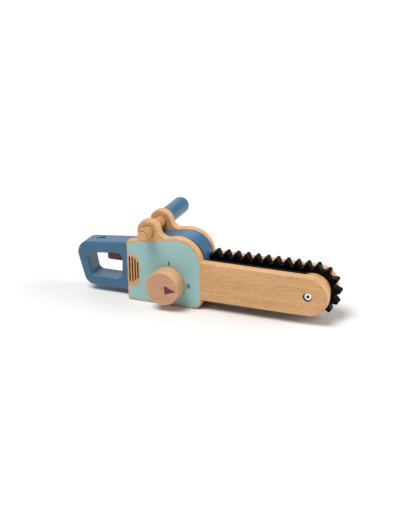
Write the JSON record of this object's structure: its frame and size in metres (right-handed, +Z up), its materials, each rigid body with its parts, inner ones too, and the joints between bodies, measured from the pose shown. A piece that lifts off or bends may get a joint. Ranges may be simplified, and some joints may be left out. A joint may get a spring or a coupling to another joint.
{
  "type": "toy chainsaw",
  "caption": "Wooden toy chainsaw: two beech side plates, painted core and finger-loop handle, trigger, hand-turned knob, toothed rubber belt and screwed-in front grip.",
  "frame": {"origin": "centre of the base of the whole object's bounding box, on the surface it stands on", "axes": "+X towards the tip of the saw bar, +Y towards the front grip's side (the knob side faces -Y), +Z up"},
  "size_m": [0.3975, 0.1508, 0.1262],
  "materials": {
    "beech": "waxed natural beech",
    "beech_end_grain": "turned beech end grain, waxed",
    "blue_paint": "satin blue paint on beech",
    "black_paint": "matt black paint on beech",
    "berry_paint": "satin burgundy paint on beech",
    "black_rubber": "matt black rubber",
    "zinc_steel": "bright zinc plate",
    "spring_steel": "drawn spring wire",
    "white_plastic": "moulded plastic"
  },
  "bodies": {
    "root": {"near_side_plate": "beech", "far_side_plate": "beech", "rear_handle": "blue_paint", "top_core": "blue_paint", "handle_plug": "blue_paint", "bar_spacer": "black_paint", "assembly_dowels": "beech", "trigger_pin": "zinc_steel", "trigger_spring": "spring_steel", "handle_screw": "zinc_steel", "click_reed": "white_plastic", "shaft_washers": "white_plastic", "idler_axle": "zinc_steel", "toothed_belt": "black_rubber", "nose_axle": "zinc_steel", "near_nose_screw": "zinc_steel", "far_nose_screw": "zinc_steel"},
    "drive": {"drive_knob": "beech_end_grain", "knob_pointer": "berry_paint", "drive_shaft": "beech", "drive_wheel": "beech", "click_wheel": "white_plastic"},
    "idler": {"idler_roller": "white_plastic"},
    "nose": {"nose_wheel": "beech"},
    "trigger": {"trigger": "berry_paint"},
    "grip": {"front_grip": "blue_paint", "threaded_rod": "beech"}
  },
  "joints": [
    {"name": "knob_turn", "type": "hinge", "parent": "root", "child": "drive", "pos_m": [-0.0476, -0.02145, 0.0354], "axis": [0, 1, 0], "continuous": true},
    {"name": "nose_wheel_turn", "type": "hinge", "parent": "root", "child": "nose", "pos_m": [0.1606, -0.02145, 0.0436], "axis": [0, 1, 0], "continuous": true},
    {"name": "idler_turn", "type": "hinge", "parent": "root", "child": "idler", "pos_m": [-0.0229, -0.02145, 0.0566], "axis": [0, 1, 0], "continuous": true},
    {"name": "trigger_pull", "type": "hinge", "parent": "root", "child": "trigger", "pos_m": [-0.1069, -0.02145, 0.062], "axis": [0, 1, 0], "range_deg": [0, 8], "stiffness_Nm_per_rad": 0.1, "springref_deg": -11.46, "deforming": ["trigger_spring"]},
    {"name": "front_grip_turn", "type": "hinge", "parent": "root", "child": "grip", "pos_m": [-0.0781, -0.02145, 0.1093], "axis": [0, 1, 0], "continuous": true}
  ],
  "couplings": [
    {"joint": "nose_wheel_turn", "follows": "knob_turn", "ratio": 0.772},
    {"joint": "idler_turn", "follows": "knob_turn", "ratio": 1.6083}
  ]
}
